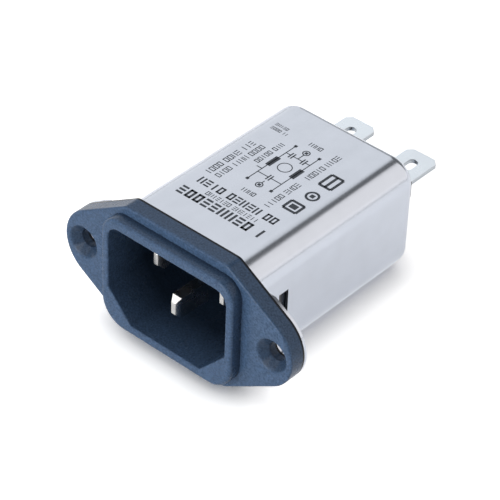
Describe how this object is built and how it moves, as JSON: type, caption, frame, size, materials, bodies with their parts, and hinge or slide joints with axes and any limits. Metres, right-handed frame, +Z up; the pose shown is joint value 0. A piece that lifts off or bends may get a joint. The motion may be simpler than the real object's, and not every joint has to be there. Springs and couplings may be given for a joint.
{
  "type": "panel-mount power inlet with built-in emi line filter",
  "caption": "Screw-mount mains inlet socket with an interference filter in a closed metal can behind it, and flat push-on load tabs at the back.",
  "frame": {"origin": "midway between the two screw holes, in the plane where the ears meet the panel", "axes": "+X across the flange towards the line pin, +Y from the socket towards the load tabs, +Z up, away from the earth pin"},
  "size_m": [0.048, 0.0563, 0.0244],
  "materials": {
    "moulding": "satin slate-blue black moulding",
    "can_metal": "satin tin-plated steel, drawn",
    "liner_film": "thin insulating film",
    "black_plastic": "black moulding",
    "pin_metal": "nickel-plated brass",
    "tab_metal": "bright tin-plated brass",
    "strap_metal": "soft copper strip",
    "ferrite": "dense dark ferrite",
    "case_plastic": "natural moulding",
    "enamelled_wire": "enamelled copper wire",
    "sleeve": "flexible sleeving",
    "xcap_body": "filled box",
    "ycap_body": "dipped disc"
  },
  "bodies": {
    "root": {"inlet_body": "moulding", "shield_can": "can_metal", "can_liner": "liner_film", "terminal_plate": "black_plastic", "line_pin": "pin_metal", "neutral_pin": "pin_metal", "earth_pin": "pin_metal", "line_tab": "tab_metal", "neutral_tab": "tab_metal", "earth_tab": "tab_metal", "earth_strap": "strap_metal", "choke_core": "ferrite", "core_cup": "case_plastic", "core_lid": "case_plastic", "line_winding": "enamelled_wire", "neutral_winding": "enamelled_wire", "winding_divider": "case_plastic", "choke_cradle": "case_plastic", "lead_sleeves": "sleeve", "x_capacitor": "xcap_body", "line_y_capacitor": "ycap_body", "neutral_y_capacitor": "ycap_body"}
  },
  "joints": []
}
